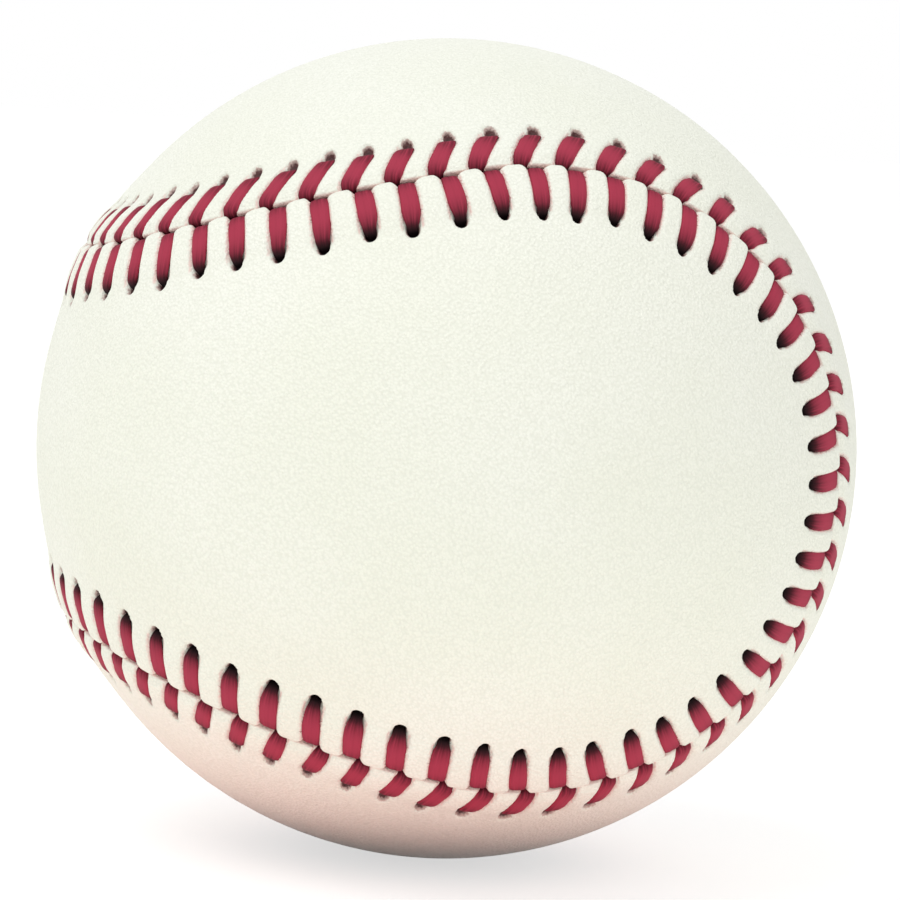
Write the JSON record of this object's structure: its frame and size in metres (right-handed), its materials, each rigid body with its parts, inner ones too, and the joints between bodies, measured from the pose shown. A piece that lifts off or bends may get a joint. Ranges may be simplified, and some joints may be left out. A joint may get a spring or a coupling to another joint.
{
  "type": "baseball",
  "caption": "White leather baseball with a raised figure-eight seam laced in crimson waxed thread, over wound yarn and a rubber-cased cork core.",
  "frame": {"origin": "the ball's centre", "axes": "-Y through the middle of the front panel's near lobe, -X through the middle of that panel's waist, +Z through the middle of the other panel's upper lobe"},
  "size_m": [0.0743, 0.0744, 0.0744],
  "materials": {
    "cork": "fine-grained composition cork",
    "black_rubber": "moulded, matt",
    "red_rubber": "moulded, matt",
    "grey_wool": "wound wool yarn",
    "white_wool": "wound wool yarn",
    "finishing_yarn": "fine wound yarn with adhesive",
    "cover_leather": "smooth, softly glossy, fine pores",
    "lacing_thread": "waxed two-ply thread"
  },
  "bodies": {
    "root": {"cork_core": "cork", "black_rubber_shell_upper": "black_rubber", "black_rubber_shell_lower": "black_rubber", "red_rubber_gasket": "red_rubber", "red_rubber_jacket": "red_rubber", "grey_wool_winding_inner": "grey_wool", "white_wool_winding": "white_wool", "grey_wool_winding_outer": "grey_wool", "finishing_yarn_winding": "finishing_yarn", "front_cover_panel": "cover_leather", "top_cover_panel": "cover_leather", "first_lacing_strand": "lacing_thread", "second_lacing_strand": "lacing_thread"}
  },
  "joints": []
}
